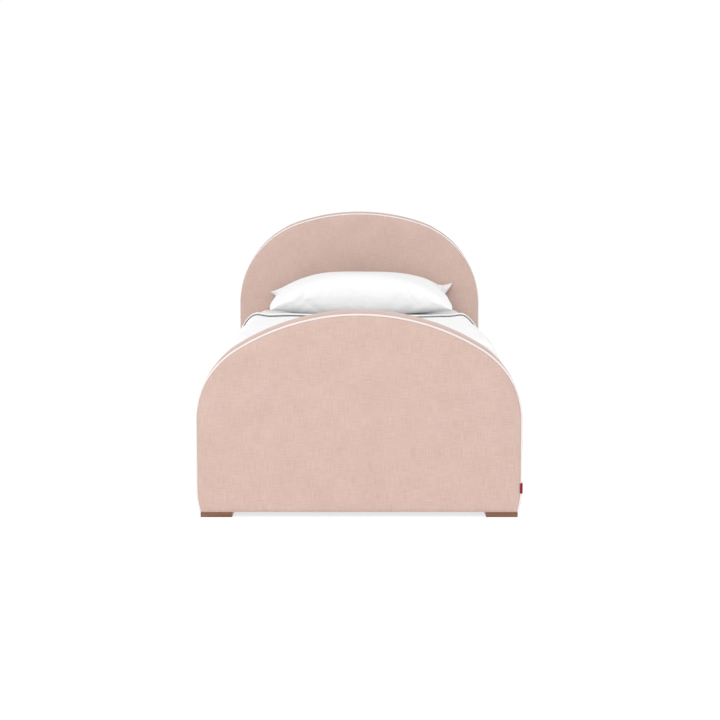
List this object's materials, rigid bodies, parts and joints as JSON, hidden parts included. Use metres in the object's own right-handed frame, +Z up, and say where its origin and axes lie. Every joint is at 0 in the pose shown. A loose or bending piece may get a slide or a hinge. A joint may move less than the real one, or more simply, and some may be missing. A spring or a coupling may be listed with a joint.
{
  "type": "toddler bed",
  "caption": "Low upholstered toddler bed with arched padded headboard and footboard, contrast piping, side rails, slats, mattress, duvet and pillow.",
  "frame": {"origin": "on the floor, under the middle of the bed", "axes": "+Y from the footboard to the headboard, +X to the right seen from the foot end, +Z up"},
  "size_m": [0.8412, 1.5612, 0.7816],
  "materials": {
    "upholstery_cloth": "matte slub-linen weave, dusty pink",
    "piping_cloth": "matte twisted contrast cord cover, off-white",
    "duvet_cotton": "soft washed cotton, white",
    "sheet_cotton": "percale cotton, white",
    "pillow_cotton": "percale cotton, white",
    "pillow_fill": "fibre fill",
    "mattress_foam": "open-cell foam",
    "ticking": "quilted knit ticking",
    "tab_cloth": "blank woven tape, dark red",
    "dust_cloth": "black non-woven",
    "pad_foam": "open-cell foam",
    "plywood": "sanded plywood",
    "frame_wood": "planed softwood",
    "slat_wood": "planed softwood",
    "foot_wood": "walnut, satin lacquer",
    "bracket_steel": "black powder coat",
    "zinc_steel": "zinc plated"
  },
  "bodies": {
    "bed_frame": {"bracket_bolts": "zinc_steel", "bracket_screws": "zinc_steel", "foot_left_foot": "foot_wood", "foot_right_foot": "foot_wood", "foot_screws": "zinc_steel", "footboard_arch_rib": "frame_wood", "footboard_bottom_rail": "frame_wood", "footboard_cross_rail": "frame_wood", "footboard_dust_cover": "dust_cloth", "footboard_edge_cover": "upholstery_cloth", "footboard_edge_foam": "pad_foam", "footboard_front_cover": "upholstery_cloth", "footboard_front_foam": "pad_foam", "footboard_front_piping": "piping_cloth", "footboard_front_skin": "plywood", "footboard_posts": "frame_wood", "footboard_rear_cover": "upholstery_cloth", "footboard_rear_foam": "pad_foam", "footboard_rear_piping": "piping_cloth", "footboard_rear_skin": "plywood", "head_left_foot": "foot_wood", "head_right_foot": "foot_wood", "headboard_arch_rib": "frame_wood", "headboard_bottom_rail": "frame_wood", "headboard_cross_rail": "frame_wood", "headboard_dust_cover": "dust_cloth", "headboard_edge_cover": "upholstery_cloth", "headboard_edge_foam": "pad_foam", "headboard_front_cover": "upholstery_cloth", "headboard_front_foam": "pad_foam", "headboard_front_piping": "piping_cloth", "headboard_front_skin": "plywood", "headboard_posts": "frame_wood", "headboard_rear_cover": "upholstery_cloth", "headboard_rear_foam": "pad_foam", "headboard_rear_piping": "piping_cloth", "headboard_rear_skin": "plywood", "ledger_screws": "zinc_steel", "left_foot_bracket": "bracket_steel", "left_head_bracket": "bracket_steel", "left_ledger": "frame_wood", "left_rail_core": "frame_wood", "left_rail_cover": "upholstery_cloth", "left_rail_foam": "pad_foam", "right_foot_bracket": "bracket_steel", "right_head_bracket": "bracket_steel", "right_ledger": "frame_wood", "right_rail_core": "frame_wood", "right_rail_cover": "upholstery_cloth", "right_rail_foam": "pad_foam", "side_tab": "tab_cloth", "slat_screws": "zinc_steel", "slats": "slat_wood", "tee_nuts": "zinc_steel"},
    "mattress": {"mattress_core": "mattress_foam", "mattress_ticking": "ticking", "fitted_sheet": "sheet_cotton"},
    "duvet": {"duvet": "duvet_cotton"},
    "pillow": {"pillow_insert": "pillow_fill", "pillowcase": "pillow_cotton"}
  },
  "joints": [
    {"name": "mattress_lift", "type": "slide", "parent": "bed_frame", "child": "mattress", "axis": [0, 0, 1], "range_m": [0, 0.3]},
    {"name": "duvet_lift", "type": "slide", "parent": "mattress", "child": "duvet", "axis": [0, 0, 1], "range_m": [0, 0.25]},
    {"name": "pillow_lift", "type": "slide", "parent": "mattress", "child": "pillow", "axis": [0, 0, 1], "range_m": [0, 0.25]}
  ]
}
